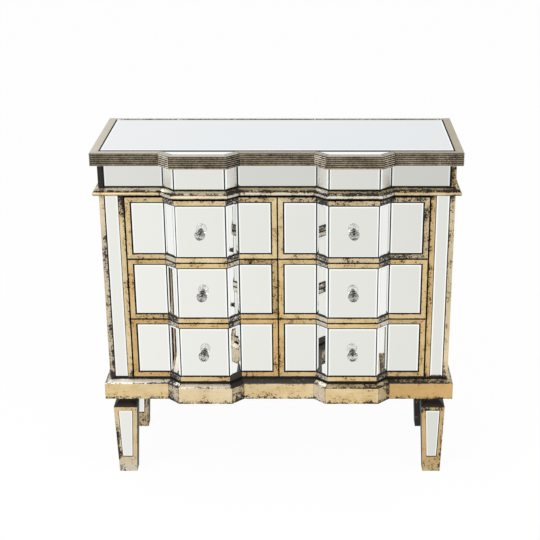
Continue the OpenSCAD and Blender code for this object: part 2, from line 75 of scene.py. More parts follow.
def add(tree, kind, values=(), **settings):
    """Puts a node in a tree; values sets or links its inputs, by name or number."""
    node = tree.nodes.new(kind)
    for key, value in settings.items():
        setattr(node, key, value)
    for key, value in dict(values).items():
        if isinstance(value, bpy.types.NodeSocket):
            tree.links.new(value, node.inputs[key])
        else:
            node.inputs[key].default_value = value
    return node


def calc(tree, operation, first, second=0.0, third=0.0, clamp=False):
    """Result of one arithmetic step on sockets or numbers."""
    return add(tree, "ShaderNodeMath", {0: first, 1: second, 2: third},
               operation=operation, use_clamp=clamp).outputs[0]


def weighted(tree, *terms, plus=0.0):
    """Sum of the terms, each a value times its weight, and plus."""
    for value, weight in terms:
        plus = calc(tree, "MULTIPLY_ADD", value, weight, plus)
    return plus


def between(tree, share, first, second):
    """Colour that goes from first to second as share goes from 0 to 1."""
    return add(tree, "ShaderNodeMix", {0: share, 6: first, 7: second},
               data_type="RGBA").outputs[2]


def noise(tree, vector, scale, detail=3.0, roughness=0.5, distortion=0.0):
    """Smooth random value about 0.5, with features of about 1 / scale."""
    return add(tree, "ShaderNodeTexNoise", {
        "Vector": vector, "Scale": scale, "Detail": detail, "Roughness": roughness,
        "Distortion": distortion}).outputs[0]


def stretched(tree, vector, scale, turn=(0, 0, 0)):
    """The vector turned by angles in degrees, then scaled along each axis."""
    turned = add(tree, "ShaderNodeMapping", {
        "Vector": vector, "Rotation": [math.radians(angle) for angle in turn]}).outputs[0]
    return add(tree, "ShaderNodeMapping", {"Vector": turned, "Scale": scale}).outputs[0]


def new_group(name, inputs, outputs):
    """Empty node group; inputs and outputs give the kind of each named socket."""
    group = bpy.data.node_groups.new(name, "ShaderNodeTree")
    for way, sockets in (("INPUT", inputs), ("OUTPUT", outputs)):
        for socket, kind in sockets.items():
            group.interface.new_socket(socket, in_out=way, socket_type="NodeSocket" + kind)
    return group, group.nodes.new("NodeGroupInput").outputs, group.nodes.new("NodeGroupOutput")


def new_material(name, **plain):
    """Material with one Principled shader; plain sets its uniform values by socket name."""
    material = bpy.data.materials.new(name)
    material.use_nodes = True
    shader = material.node_tree.nodes["Principled BSDF"].inputs
    for key, value in plain.items():
        shader[key.replace("_", " ")].default_value = value
    return material, material.node_tree, shader


def feed(tree, sockets, **results):
    """Links results to the named sockets."""
    for key, value in results.items():
        tree.links.new(value, sockets[key.replace("_", " ")])


def on_object(tree):
    """Position on the object, in metres."""
    return add(tree, "ShaderNodeTexCoord").outputs["Object"]


def relief(tree, height, distance):
    """Normal of a surface raised by height times distance."""
    return add(tree, "ShaderNodeBump", {"Height": height, "Distance": distance}).outputs[0]


wood_grain, given, made = new_group(
    "wood_grain", {"Vector": "Vector"}, {"Rings": "Float", "Pores": "Float"})
drift = noise(wood_grain, stretched(wood_grain, given[0], (1.5, 9, 9)), 1.0, 2.0)
wave = add(wood_grain, "ShaderNodeTexWave", {
    "Vector": stretched(wood_grain, given[0], (0.35, 1, 1)), "Scale": 26.0, "Distortion": 9.0,
    "Detail": 2.0, "Detail Scale": 0.6}, bands_direction="Z").outputs["Fac"]
feed(wood_grain, made.inputs,
     Rings=weighted(wood_grain, (drift, 0.4), (wave, 0.6)),
     Pores=noise(wood_grain, stretched(wood_grain, given[0], (12, 420, 420)), 1.0, 4.0))


def grained(name, light, bole_and_shade, turn, roughness, depth=0.00015):
    """Bare wood whose grain runs along the axis that turn brings to X."""
    material, tree, shader = new_material(name)
    rings, pores = add(tree, "ShaderNodeGroup", {
        "Vector": stretched(tree, on_object(tree), (1, 1, 1), turn)},
        node_tree=wood_grain).outputs
    base = between(tree, rings, light, bole_and_shade)
    fleck = calc(tree, "MULTIPLY", calc(tree, "SUBTRACT", pores, 0.45, clamp=True), 1.6)
    feed(tree, shader, Base_Color=between(tree, fleck, base, bole_and_shade),
         Roughness=weighted(tree, (pores, 0.25), plus=roughness),
         Normal=relief(tree, pores, depth))
    return material


ALONG_WIDTH, ALONG_DEPTH, ALONG_HEIGHT = (0, 0, 0), (0, 0, 90), (0, 90, 0)
pine = grained("planed_pine", rgb(214, 182, 136), rgb(176, 136, 88), ALONG_DEPTH, 0.5)
pine_rail = grained("pine_rail", rgb(210, 178, 132), rgb(170, 130, 84), ALONG_WIDTH, 0.5)
beech = grained("waxed_beech", rgb(196, 152, 108), rgb(160, 112, 74), ALONG_DEPTH, 0.32)
plywood = grained("back_plywood", rgb(188, 158, 118), rgb(158, 122, 82), ALONG_HEIGHT, 0.58)
black_stain = grained("black_stained_wood", rgb(30, 26, 24), rgb(16, 14, 13), ALONG_WIDTH, 0.55)


def cover(material, *names):
    """Gives CAD nodes that keep their own shape this material in every slot."""
    for name in names:
        for slot in nodes[name].material_slots:
            slot.material = material


cover(pine, "side_panels", "centre_partition")
cover(pine_rail, "cross_rails", "plinth_blocks")
cover(beech, "drawer_runners")
cover(plywood, "back_panel")
cover(black_stain, "top_board", "frieze_board", "corner_posts", "bottom_board")


# Leg bolts and back screws: zinc-plated steel, turned into the blocks and the back edges.
# Only the heads of the screws can be seen, flush with the back panel.

zinc, tree, shader = new_material("zinc_plate", Metallic=1.0)
spangle = noise(tree, on_object(tree), 900.0, 2.0)
feed(tree, shader, Base_Color=between(tree, spangle, rgb(150, 152, 150), rgb(206, 208, 206)),
     Roughness=weighted(tree, (spangle, 0.3), plus=0.2))
cover(zinc, "leg_bolts", "back_screws")


# Gilding: gold leaf over black bole on all the show wood, then rubbed through and toned brown.
# Every gilt piece carries painted values: how much bole shows, how far the leaf turns from gold
# to silver (up) or copper (down), how dull it is, and a map that the fine streaks follow. Besides
# wear, these values also paint light: painted shade as bole and dullness in hollows, under ledges
# and on faces turned away from the lamps, and painted highlights as silver on faces turned to them.

gilding, given, made = new_group(
    "gilding", {"Vector": "Vector", "Along": "Vector", "Dark": "Float", "Pale_and_Highlight": "Float",
                "Dull_and_Shade": "Float"},
    {"Color": "Color", "Leaf": "Float", "Roughness": "Float", "Height": "Float"})
blotch = noise(gilding, given["Vector"], 120.0, 5.0, 0.72, 0.4)
streak = noise(gilding, stretched(gilding, given["Along"], (20, 280, 1)), 1.0, 4.0, 0.62)
cluster = noise(gilding, given["Vector"], 24.0, 3.0)
grit = noise(gilding, given["Vector"], 260.0, 3.0, 0.7)
# Bole shows where 0.46 blotch + 0.20 streak + 0.34 grit passes 0.775 - 0.26 cluster - 0.29 dark.
score = weighted(gilding, (grit, 0.34), (streak, 0.20), (blotch, 0.46))
limit = weighted(gilding, (cluster, -0.26), (given["Dark"], -0.29), plus=0.775)
over = calc(gilding, "SUBTRACT", score, limit)
bare = calc(gilding, "MULTIPLY", over, 60.0, clamp=True)
toned = calc(gilding, "MULTIPLY", calc(gilding, "ADD", over, 0.035), 16.0, clamp=True)
hue = calc(gilding, "MULTIPLY", calc(gilding, "SUBTRACT", weighted(
    gilding, (cluster, 0.8), (streak, 0.5)), 0.42), 2.6, clamp=True)
silver = calc(gilding, "MULTIPLY", given["Pale_and_Highlight"], 1.0, clamp=True)
copper = calc(gilding, "MULTIPLY", given["Pale_and_Highlight"], -1.0, clamp=True)
leaf = between(gilding, hue, rgb(233, 213, 166), rgb(213, 181, 122))
leaf = between(gilding, silver, leaf, rgb(240, 235, 222))
leaf = between(gilding, copper, leaf, rgb(204, 160, 98))
leaf = between(gilding, given["Dull_and_Shade"], leaf, rgb(52, 47, 40))
glaze = between(gilding, silver, rgb(112, 84, 52), rgb(166, 157, 143))
leaf = between(gilding, calc(gilding, "MULTIPLY", toned, 0.6), leaf, glaze)
bole = between(gilding, silver, rgb(30, 24, 19), rgb(54, 52, 50))
feed(gilding, made.inputs,
     Color=between(gilding, bare, leaf, bole),
     Leaf=calc(gilding, "SUBTRACT", 1.0, bare),
     Roughness=weighted(gilding, (grit, 0.2), (bare, 0.22), plus=0.26),
     Height=weighted(gilding, (streak, 0.3), (grit, 0.25), (bare, -0.6)))


def painted(tree, name):
    """Value that a piece carries at each of its points."""
    return add(tree, "ShaderNodeAttribute", attribute_name=name).outputs["Fac"]


gilt, tree, shader = new_material("distressed_gilding", Specular_IOR_Level=0.3)
leafed = add(tree, "ShaderNodeGroup", {
    "Vector": on_object(tree), "Along": add(tree, "ShaderNodeUVMap", uv_map="along").outputs[0],
    "Dark": painted(tree, "bole_and_shade"), "Pale_and_Highlight": painted(tree, "pale_and_highlight"),
    "Dull_and_Shade": painted(tree, "dull_and_shade")}, node_tree=gilding).outputs
feed(tree, shader, Base_Color=leafed["Color"], Roughness=leafed["Roughness"],
     Metallic=calc(tree, "MULTIPLY", leafed["Leaf"], 0.8),
     Normal=relief(tree, leafed["Height"], 0.0003))


def bands(index):
    """Quads between neighbouring rows of closed sections, from the numbers of their points."""
    here, there = index[:, :-1], index[:, 1:]
    return np.stack([here, np.roll(here, -1, 2), np.roll(there, -1, 2), there], -1)


def tube_faces(grid, first=0):
    """Faces of closed sections laid row after row, with a cap at both ends of each tube.

    grid is tubes x rows x points x 3, and first is the number of its first point in the mesh. A
    tube's faces are turned round where its volume, the sum of a . (b x c) / 6 over its triangles,
    is negative.
    """
    tubes, rows, points = grid.shape[:3]
    index = np.arange(tubes * rows * points).reshape(tubes, rows, points)
    sides = bands(index)
    place = grid.reshape(-1, 3)
    faces = []
    for k in range(tubes):
        quads = sides[k].reshape(-1, 4)
        caps = [index[k, 0, ::-1], index[k, -1]]
        fans = [np.stack([np.full(points - 2, cap[0]), cap[1:-1], cap[2:]], -1) for cap in caps]
        corners = place[np.concatenate([quads[:, :3], quads[:, [0, 2, 3]], *fans])]
        volume = np.einsum("ij,ij->", corners[:, 0], np.cross(corners[:, 1], corners[:, 2]))
        step = 1 if volume > 0 else -1
        faces += (first + quads[:, ::step]).tolist()
        faces += [(first + cap[::step]).tolist() for cap in caps]
    return faces


def paced(grid, axis):
    """Distance run from the first point along an axis of the grid."""
    step = np.linalg.norm(np.diff(grid, axis=axis), axis=-1)
    first = np.zeros_like(np.take(step, [0], axis=axis))
    return np.concatenate([first, np.cumsum(step, axis=axis)], axis=axis)


def paint(mesh, name, domain, values):
    """Gives every point or face of a mesh its painted value."""
    mesh.attributes.new(name, "FLOAT", domain).data.foreach_set("value", values)


def new_object(name, data):
    """Object in the scene for a mesh, lamp or camera."""
    item = bpy.data.objects.new(name, data)
    scene.collection.objects.link(item)
    return item


def show(name, body, slot, material, mesh, *replaced):
    """Puts a finished mesh in the scene as a piece that stands for the CAD nodes it replaces."""
    piece = new_object(name, mesh)
    mesh.materials.append(material)
    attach(piece, body)
    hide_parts(*replaced)
    return piece


def gilt_piece(name, body, parts, *replaced):
    """Gilt wood from tubes; parts holds a grid with its rubbing and painted shade, paleness and
    added black each.

    Bole shows by 0.15 + 0.85 wear_and_shade^2 + black. The leaf is dulled by wear_and_shade times
    (0.6 - 0.25 paleness), with the paleness between 0 and 1, and by 0.95 at most.
    """
    places, faces, values, maps = [], [], [], []
    luck = np.random.default_rng(len(name) * 7 + sum(map(ord, name)))
    for grid, wear_and_shade, pale_and_highlight, black in parts:
        faces += tube_faces(grid, sum(map(len, places)))
        places.append(grid.reshape(-1, 3))
        shape = grid.shape[:3]
        shown = 0.15 + 0.85 * np.square(wear_and_shade) + black
        dulled = wear_and_shade * (0.6 - 0.25 * np.clip(pale_and_highlight, 0, 1))
        values.append(np.stack([np.broadcast_to(value, shape) for value in (
            np.clip(shown, 0, 1), pale_and_highlight, np.clip(dulled, 0, 0.95))]).reshape(3, -1))
        away = luck.uniform(0, 40, (2, shape[0], 1, 1))
        maps.append(np.stack([paced(grid, 1) + away[0], paced(grid, 2) + away[1]], -1
                             ).reshape(-1, 2))
    mesh = bpy.data.meshes.new(name)
    mesh.from_pydata(np.concatenate(places), [], faces)
    for title, value in zip(("bole_and_shade", "pale_and_highlight", "dull_and_shade"), np.concatenate(values, 1)):
        paint(mesh, title, "POINT", value)
    along = np.concatenate(maps)[np.concatenate(faces)]
    mesh.uv_layers.new(name="along").data.foreach_set("uv", along.ravel())
    work = bmesh.new()
    work.from_mesh(mesh)
    bmesh.ops.remove_doubles(work, verts=work.verts, dist=1e-6)
    work.to_mesh(mesh)
    work.free()
    mesh.shade_smooth()
    mesh.set_sharp_from_angle(angle=math.radians(50))
    return show(name, body, "gilt_wood", gilt, mesh, *replaced)


# Legs: solid wood, tapered on both sides and at the back, with a neck and a hipped shoulder at
# the head and a shallow pocket in the front for the mirror. Gilt, with the feet rubbed pale;
# painted shade makes the shoulders under the plinth and the inner sides nearly black. Each is
# held by a bolt in its neck.

leg_taper_in, leg_taper_out, leg_taper_back = 0.0095, 0.007, 0.014
leg_head, leg_shoulder, leg_foot, leg_border = 0.212, 0.016, 0.048, 0.012
leg_pocket, arris = 0.005, 0.001
# Wear and paleness of each leg, rubbing of its foot and outer border, and black over its pane.
# The rear legs' high wear is partly painted shade, as they stand back under the case.
LEGS = {"front_left": (0.1, 0.1, 0.16, 0.0), "front_right": (0.2, -0.45, 0.0, 0.32),
        "rear_left": (0.58, 0.1, 0.0, 0.0), "rear_right": (0.86, 0.0, 0.0, 0.0)}


def leg_plan(low, high, outer, z):
    """Inner and outer edge, front and back of a leg at heights z. A side is drawn in by its taper
    times (1 - z / head) below the head, and by z - head above it."""
    fall = np.clip(1 - z / leg_head, 0, 1)
    draw = np.clip(z - leg_head, 0, leg_shoulder)
    inner_x, outer_x = (low.x, high.x) if outer > 0 else (high.x, low.x)
    return (inner_x + outer * (leg_taper_in * fall + draw),
            outer_x - outer * (leg_taper_out * fall + draw),
            low.y + draw, high.y - leg_taper_back * fall - draw)


def leg_grid(low, high, outer):
    """Sections of a leg from the floor up: a rounded square, notched in front for the pocket."""
    pane_top, foot_rows, pane_rows = leg_head - leg_border, 6, 16
    z = np.concatenate([np.linspace(0, leg_foot, foot_rows),
                        np.linspace(leg_foot, pane_top, pane_rows),
                        np.linspace(pane_top, leg_head - arris, 3),
                        leg_head + np.linspace(0, leg_shoulder, 5), [high.z - arris, high.z]])
    notch = np.zeros_like(z)
    notch[foot_rows:foot_rows + pane_rows] = leg_pocket
    x0, x1, y0, y1 = (value[:, None] for value in leg_plan(low, high, outer, z))
    across = np.array([0, 0.3, 1, 0, 0, 0, 0, -1, -0.3, 0, 0, -0.3, -1, 1, 0.3, 0]) * arris
    across[[3, 4]], across[[5, 6]] = leg_border, -leg_border
    deep = np.array([1, 0.3, 0, 0, 0, 0, 0, 0, 0.3, 1, -1, -0.3, 0, 0, -0.3, -1]) * arris
    is_outer = np.array([0] * 5 + [1] * 8 + [0] * 3)
    is_back = np.array([0] * 10 + [1] * 6)
    x = np.where(is_outer, x1, x0) + outer * across
    y = np.where(is_back, y1, y0) + deep
    y[:, [4, 5]] += notch[:, None]
    return np.stack([x, y, np.broadcast_to(z[:, None], x.shape)], -1)[None]


edge_middle, edge_reach, border_top = 0.1, 0.07, 0.18
point = np.arange(16)
for leg, (wear_and_shade, pale_and_highlight, rub, mark) in LEGS.items():
    end, side = leg.split("_")
    low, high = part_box("leg_" + leg)
    grid = leg_grid(low, high, SIDES[side])
    z = grid[..., 2]
    shaded_inner_side = np.isin(point, [0, 14, 15])
    shoulder_shade = (z > leg_head - 0.0005) & (z < high.z - 0.006)
    above_pane = (z > leg_head - leg_border - 0.001) & (z < leg_head)
    foot = np.clip(1.25 - z / leg_foot, 0, 1)
    front_foot = foot * (end == "front")
    outer_edge = np.isin(point, [7, 8]) * np.clip(1.4 - abs(z - edge_middle) / edge_reach, 0, 1)
    border = np.isin(point, [6, 7, 8]) * np.clip((border_top - z) / 0.03, 0, 1) * (z > leg_foot)
    rubbed = rub * (border + foot)
    wear_and_shade = wear_and_shade + 0.3 * front_foot + 0.2 * outer_edge + rubbed
    pale_and_highlight = pale_and_highlight + 0.45 * front_foot + 0.8 * rubbed
    # Painted shade: black on the shoulder under the plinth and on the inner side.
    black = (0.9 * shoulder_shade + 0.8 * shaded_inner_side + 0.38 * outer_edge
             + 1.2 * rub * border + mark * above_pane)
    gilt_piece("leg_" + leg, CASE, [(grid, wear_and_shade, pale_and_highlight, black)], "leg_" + leg)


# Mirror panes: 4 mm silvered glass, cut to fit and glued on. The edges are ground, which leaves
# a narrow dark green line, and inside them runs a polished bevel, made nearly white by a
# painted highlight.

def mirror_material(name, left, right, bevel_highlight):
    """Silvered glass whose colour goes from left to right across the piece, a painted fall of light
    that is brighter at the left and darker at the right; the bevels take a painted highlight that
    makes them paler, and each face carries its own painted shade."""
    material, tree, shader = new_material(name, Metallic=1.0)
    place = on_object(tree)
    cloud = weighted(tree, (noise(tree, place, 4.0, 2.0), 0.05), plus=0.975)
    shade = calc(tree, "MULTIPLY", cloud, painted(tree, "shade"))
    share = add(tree, "ShaderNodeSeparateXYZ", {0: place}).outputs[0]
    tint_and_light_fall = between(tree, calc(tree, "ADD", share, 0.5, clamp=True), left, right)
    base = between(tree, painted(tree, "bevel"), tint_and_light_fall, bevel_highlight)
    smudge = noise(tree, place, 38.0, 4.0, 0.6, 0.6)
    feed(tree, shader, Base_Color=between(tree, shade, rgb(20, 44, 42), base),
         Roughness=weighted(tree, (calc(tree, "SUBTRACT", smudge, 0.35, clamp=True), 0.12),
                            plus=painted(tree, "haze")),
         Normal=relief(tree, noise(tree, place, 16.0, 1.0), 0.00004))
    return material


# Both tints fall from left to right: painted light, brighter at the left and darker at the right.
mirror = mirror_material("silvered_glass", rgb(239, 239, 234), rgb(225, 225, 219),
                         rgb(253, 254, 252))
top_mirror = mirror_material("silvered_top_glass", rgb(232, 235, 237), rgb(222, 227, 229),
                             rgb(253, 254, 255))
ground_edge, tree, shader = new_material("ground_glass_edge", Specular_IOR_Level=0.0)
frost = noise(tree, on_object(tree), 300.0, 3.0)
feed(tree, shader, Base_Color=between(tree, frost, rgb(26, 44, 42), rgb(66, 92, 86)),
     Roughness=weighted(tree, (frost, 0.3), plus=0.15))

glass_t, ground_drop, arris_line = 0.004, 0.0012, 0.0009
ground_w, bevel_w, bevel_drop = 0.0008, 0.0036, 0.0008


def drawn_in(quads, widths):
    """Corners of convex quads after side k of a quad (from corner k to the next) moves inwards by
    widths[k]. A corner between sides a and b, at angle t, moves by (w_a / sin t) along side b and
    (w_b / sin t) along side a."""
    ahead = np.roll(quads, -1, 1) - quads
    behind = np.roll(quads, 1, 1) - quads
    ahead /= np.linalg.norm(ahead, axis=-1, keepdims=True)
    behind /= np.linalg.norm(behind, axis=-1, keepdims=True)
    sine = np.linalg.norm(np.cross(ahead, behind), axis=-1, keepdims=True)
    widths = np.broadcast_to(widths, quads.shape[:2])[..., None]
    return quads + (ahead * np.roll(widths, 1, 1) + behind * widths) / sine


def pane_piece(name, body, material, front, back, shade, bevel, *replaced,
               ground=ground_w, drops=(bevel_drop, ground_drop), fall=0.0, line=1.0, painted_reflection=0.0,
               haze=0.0):
    """Panes from their front and back corners (panes x 4 x 3), anticlockwise seen from outside.

    Rings of corners run from the back over the ground edge, the bevel and a fine arris to the flat
    middle. ground and bevel are widths for each side, and drops are the depths of the bevel and of
    the ground edge. fall lowers the corners of the middle, line is the shade of the arris,
    painted_reflection says how far the middle takes the paler bevel colour as a painted
    reflection, and haze is its roughness.
    """
    panes = len(front)
    out = np.cross(front[:, 1] - front[:, 0], front[:, 3] - front[:, 0])
    out = (out / np.linalg.norm(out, axis=-1, keepdims=True))[:, None]
    ground, bevel = np.broadcast_to(ground, (panes, 4)), np.broadcast_to(bevel, (panes, 4))
    fall = np.broadcast_to(fall, (panes, 4))[..., None]
    depth = (fall + sum(drops)) / glass_t
    rings = np.stack([back, front + (back - front) * depth,
                      drawn_in(front, ground) - out * (fall + drops[0]),
                      drawn_in(front, ground + bevel) - out * fall,
                      drawn_in(front, ground + bevel + arris_line) - out * fall], 1)
    levels = rings.shape[1]
    index = np.arange(panes * levels * 4).reshape(panes, levels, 4)
    faces = np.concatenate([
        bands(index).reshape(panes, -1, 4), index[:, :1, ::-1], index[:, -1:]], 1)
    mesh = bpy.data.meshes.new(name)
    mesh.from_pydata(rings.reshape(-1, 3), [], faces.reshape(-1, 4).tolist())
    edge, slope = np.zeros((2, panes, 18))
    edge[:, :8], edge[:, 16] = 1, 1
    # Painted highlight: the bevel faces take the near-white bevel colour.
    slope[:, 8:12] = 1
    # Painted reflection: the middle takes part of the near-white bevel colour.
    slope[:, 17] = painted_reflection
    shades = np.repeat(np.broadcast_to(shade, panes)[:, None], 18, 1)
    shades[:, 12:16] *= np.broadcast_to(line, panes)[:, None]
    hazes = np.repeat(np.broadcast_to(haze, panes), 18)
    for title, value in (("bevel", slope.ravel()), ("shade", shades.ravel()), ("haze", hazes)):
        paint(mesh, title, "FACE", value)
    piece = show(name, body, "mirror_glass", material, mesh, *replaced)
    mesh.materials.append(ground_edge)
    mesh.polygons.foreach_set("material_index", edge.ravel().astype(np.int32))
    return piece


def upright(start, end, z0, z1):
    """Corners of upright panes between plan points start and end, from z0 to z1."""
    plan = np.stack([start, end, end, start], 1)
    height = np.broadcast_to([[z0], [z0], [z1], [z1]], (len(plan), 4, 1))
    return np.concatenate([plan, height], -1)


# Leg mirrors: tapered panes let into the pockets of the four legs, 1 mm behind the gilt border,
# and held with mastic. The rear right pane's ground edge is broad on its inner side, a dark
# strip of painted shade.

pocket_gap, pane_sunk = 0.0005, 0.001
pane_low, pane_high = leg_foot + pocket_gap, leg_head - leg_border - pocket_gap
quads = []
for leg in LEGS:
    end, side = leg.split("_")
    low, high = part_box("leg_" + leg)
    x0, x1, y0, _ = leg_plan(low, high, SIDES[side], np.array([pane_low, pane_high]))
    margin = SIDES[side] * (leg_border + pocket_gap)
    x0, x1 = np.sort([x0 + margin, x1 - margin], axis=0)
    y = low.y + pane_sunk
    quads.append([[x0[0], y, pane_low], [x1[0], y, pane_low],
                  [x1[1], y, pane_high], [x0[1], y, pane_high]])
quads = np.array(quads)
leg_ground_and_shade = np.tile([0.0018, 0.0018, ground_w, ground_w], (4, 1))
# Painted shade: a broad dark ground edge on the inner side of the rear right pane.
leg_ground_and_shade[3, 3] = 0.007
pane_piece("leg_mirrors", CASE, mirror, quads, quads + [0, glass_t, 0],
           [0.95, 0.93, 0.95, 0.93], [[0.003] * 4] * 3 + [[0.001] * 4], "leg_mirrors",
           ground=leg_ground_and_shade)


# Plinth: a moulding in mitred lengths round the front and sides, an upright face with a slope
# above it, nailed to the corner blocks and following both bays. The slope carries a painted
# highlight that makes it silvery at the left and on the cants that face left, and painted shade
# that makes it nearly black from the middle on and on the cants that face right; the faces are
# gold with bare patches low down and a painted highlight on the cants that face left.

top_low, top_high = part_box("top_edge_moulding")
half_w, top_back = top_high.x, top_high.y
bay_d, bay_face = 0.032, 0.155
front_y = top_low.y + bay_d
front_low, front_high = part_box("drawer_top_right_frame")
bay_x = (front_low.x + front_high.x) / 2
half_face, half_foot = bay_face / 2, bay_face / 2 + bay_d
mitre_gap, mitre_wear, end_w, back_inset = 0.0004, 0.5, 0.0012, 0.008
# Sides of the plan's outline: nine along the front, then the right side, the back and the left.
AROUND = list(range(12))
CASE_SIDES = [*range(10), 11]


def bays(inset):
    """Corners of the right bay at insets, left to right: its corners draw in by inset times the
    tangent of 22.5 degrees, and its face stands bay_d forward."""
    shift = inset * math.tan(math.radians(22.5))
    x = np.stack([bay_x - half_foot + shift, bay_x - half_face + shift,
                  bay_x + half_face - shift, bay_x + half_foot - shift])
    y = front_y + inset - np.array([0, bay_d, bay_d, 0])[:, None]
    return np.stack([x, y], -1)


def front_line(inset, end):
    """Ten corners of the whole front at insets, from x = -end to x = end."""
    right = bays(inset)
    left = right[::-1] * [-1, 1]
    stop = np.stack([end, front_y + inset], -1)[None]
    return np.concatenate([stop * [-1, 1], left, right, stop])


def outline(inset, back):
    """Twelve corners of the whole plan at insets, with their own insets at the back."""
    line = front_line(inset, half_w - inset)
    corner = np.stack([half_w - inset, top_back - back], -1)[None]
    return np.concatenate([line, corner, corner * [-1, 1]])


def carried(corners, chosen, z, steps):
    """A closed section carried along the chosen sides of an outline, mitred at its corners.

    Each point runs between the outline's corners at its own inset, less half the mitre gap at both
    ends. Rows lie at both ends, end_w from them, and at even steps between.
    """
    start = corners[chosen]
    end = corners[(np.array(chosen) + 1) % len(corners)]
    length = np.linalg.norm(end - start, axis=-1, keepdims=True)
    unit = (end - start) / length
    start, length = start + unit * mitre_gap / 2, length - mitre_gap
    even = end_w + (length - 2 * end_w) * np.linspace(0, 1, steps + 1)
    along = np.concatenate([0 * length, even, length], -1).transpose(0, 2, 1)[..., None]
    plan = start[:, None] + unit[:, None] * along
    return np.concatenate([plan, np.broadcast_to(z, plan.shape[:3])[..., None]], -1)


def by_length(*values):
    """One value for all the points of each length."""
    return np.array(values)[:, None, None]


def worn_and_shaded(steps, *samples):
    """Rubbing and painted shade of steps + 3 rows along each length: straight lines between evenly
    spaced samples, and more at both mitres."""
    at = np.linspace(0, 1, steps + 1)
    even = np.array([np.interp(at, np.linspace(0, 1, len(s)), s) for s in samples])
    first, last = even[:, :1] + mitre_wear, even[:, -1:] + mitre_wear
    return np.concatenate([first, even, last], 1)[..., None]


plinth_low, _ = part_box("plinth_moulding")
case_inset, core_inset, plinth_inset = 0.017, 0.024, 0.0025
inset = np.array([core_inset, 0.0037, 0.0029, *[plinth_inset] * 4, 0.0030, 0.0098, 0.0165,
                  0.0172, core_inset])
z = np.array([0, 0, 0.0004, 0.0012, 0.012, 0.037, 0.0478, 0.0492, 0.0530, 0.0567, 0.057, 0.057])
grid = carried(outline(inset, np.full(12, back_inset)), CASE_SIDES, plinth_low.z + z, 24)
low_edge = np.array([0.7, 0.6, 0.5, 0.4, 0.1, 0, 0.1, 0.3, 0, 0, 0.4, 0.7])
face = worn_and_shaded(24, [0, 0, .1, 0], [.5], [0, 0, .05], [.5, .6], [.15, .1, 0, 0], [.2, .3],
            [0, 0, .05], [.45, .55], [.15, .1, 0], [.2], [.2])
# Painted shade: the slope's wear is heaviest from the middle on and on the cants that face right.
slope = worn_and_shaded(24, [0, .1, .5, .5], [.7], [.2, .3, .5], [1.1], [.9], [.4], [.5, .6, .65],
             [.6], [.92, .72, .5], [.5], [.5])
on_slope = np.arange(12) > 6
# Painted highlights: silver on the cants that face left, and on the slope at the left.
face_tone_and_highlight = by_length(.05, .6, .2, .3, .1, .5, .05, .1, -.7, 0, 0)
slope_highlight = by_length(1, 1, .75, 0, 1, 1, .1, .3, .1, .3, .6)
gilt_piece("plinth_moulding", CASE, [(grid, np.where(on_slope, slope, face), np.where(
    on_slope, slope_highlight, face_tone_and_highlight), low_edge)], "plinth_moulding")


# Gilt strips of the case: an angle strip on each front corner, a flat one along each back edge
# and one on the inner side of each post, above and below the bead. Glued and pinned.

strip_w, strip_t, case_back = 0.014, 0.007, top_back - back_inset
outer_x, core_x = half_w - case_inset, half_w - core_inset
strips_low, strips_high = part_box("case_strips")
bead_low, bead_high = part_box("bead_moulding")
drawer_gap = 0.003
post_x = front_high.x + drawer_gap


def upright_tubes(plan, z0, z1, steps=24):
    """Closed plan outlines (strips x points x 2) carried straight up from z0 to z1."""
    plan = np.asarray(plan)
    z = np.linspace(z0, z1, steps + 1)[:, None]
    rows = np.broadcast_to(plan[:, None], (len(plan), steps + 1, *plan.shape[1:]))
    return np.concatenate([rows, np.broadcast_to(z, rows.shape[:3])[..., None]], -1)


def rounded(x0, x1, y0, y1):
    """A rectangle whose two front corners are rounded to an arris, as eight plan points."""
    a = math.copysign(arris, x1 - x0)
    return [[x0, y1], [x0, y0 + arris], [x0 + 0.3 * a, y0 + 0.3 * arris], [x0 + a, y0],
            [x1 - a, y0], [x1 - 0.3 * a, y0 + 0.3 * arris], [x1, y0 + arris], [x1, y1]]


strip_y = front_y + case_inset
part_arris, core_back = 0.3 * arris, core_x - outer_x
angle_strip = np.array([outer_x, strip_y]) + [
    [-strip_w, strip_t], [-strip_w, arris], [part_arris - strip_w, part_arris],
    [arris - strip_w, 0], [-arris, 0], [-part_arris, part_arris], [0, arris],
    [0, strip_w - arris], [-part_arris, strip_w - part_arris], [-arris, strip_w],
    [core_back, strip_w], [core_back, strip_t]]
rear_strip = np.array(rounded(case_back - strip_w, case_back, -outer_x, -core_x))[:, ::-1] * [-1, 1]
inner_strip = rounded(post_x, post_x + strip_w, strip_y, strip_y + strip_t)
both = np.array([[[1, 1]], [[-1, 1]]])
arris_black = np.array([1, 1, 0.8, 0.25, 0, 0.6, 0.9, 0.9])
angle_black = np.array([0.9, 0.9, 0.8, 0.12, -0.05, 0, 0, 0, 0.3, 0.8, 0.8, 0.8])
parts = []
for plan, z0, z1, wear_and_shade, pale_and_highlight, black in (
        (angle_strip, strips_low.z, bead_low.z,
         worn_and_shaded(22, [.05, .1, .3, .4, .4, .4],
              [.52, .6, .5, .6, .42, .58, .48, .62, .74, .5, .15, .05]), [.25, .4], angle_black),
        (angle_strip, bead_high.z, strips_high.z, worn_and_shaded(22, [.6], [1.1]), [0, 0], angle_black),
        (rear_strip, strips_low.z, bead_low.z, worn_and_shaded(22, [.3, .2, .3], [.3, .2, .3]), [.1, .1],
         arris_black),
        (rear_strip, bead_high.z, strips_high.z, worn_and_shaded(22, [.4], [.4]), [0, 0], arris_black),
        (inner_strip, strips_low.z, bead_low.z,
         worn_and_shaded(22, [.1, .1, .1, .2, .25, .3, .25],
              [.1, 0, 0, .1, .1, 0, 0, .1, .2, .1, 0, .1, .75]), [-.3, .1], arris_black)):
    parts.append((upright_tubes(np.array(plan) * both, z0, z1), wear_and_shade, by_length(*pale_and_highlight), black))
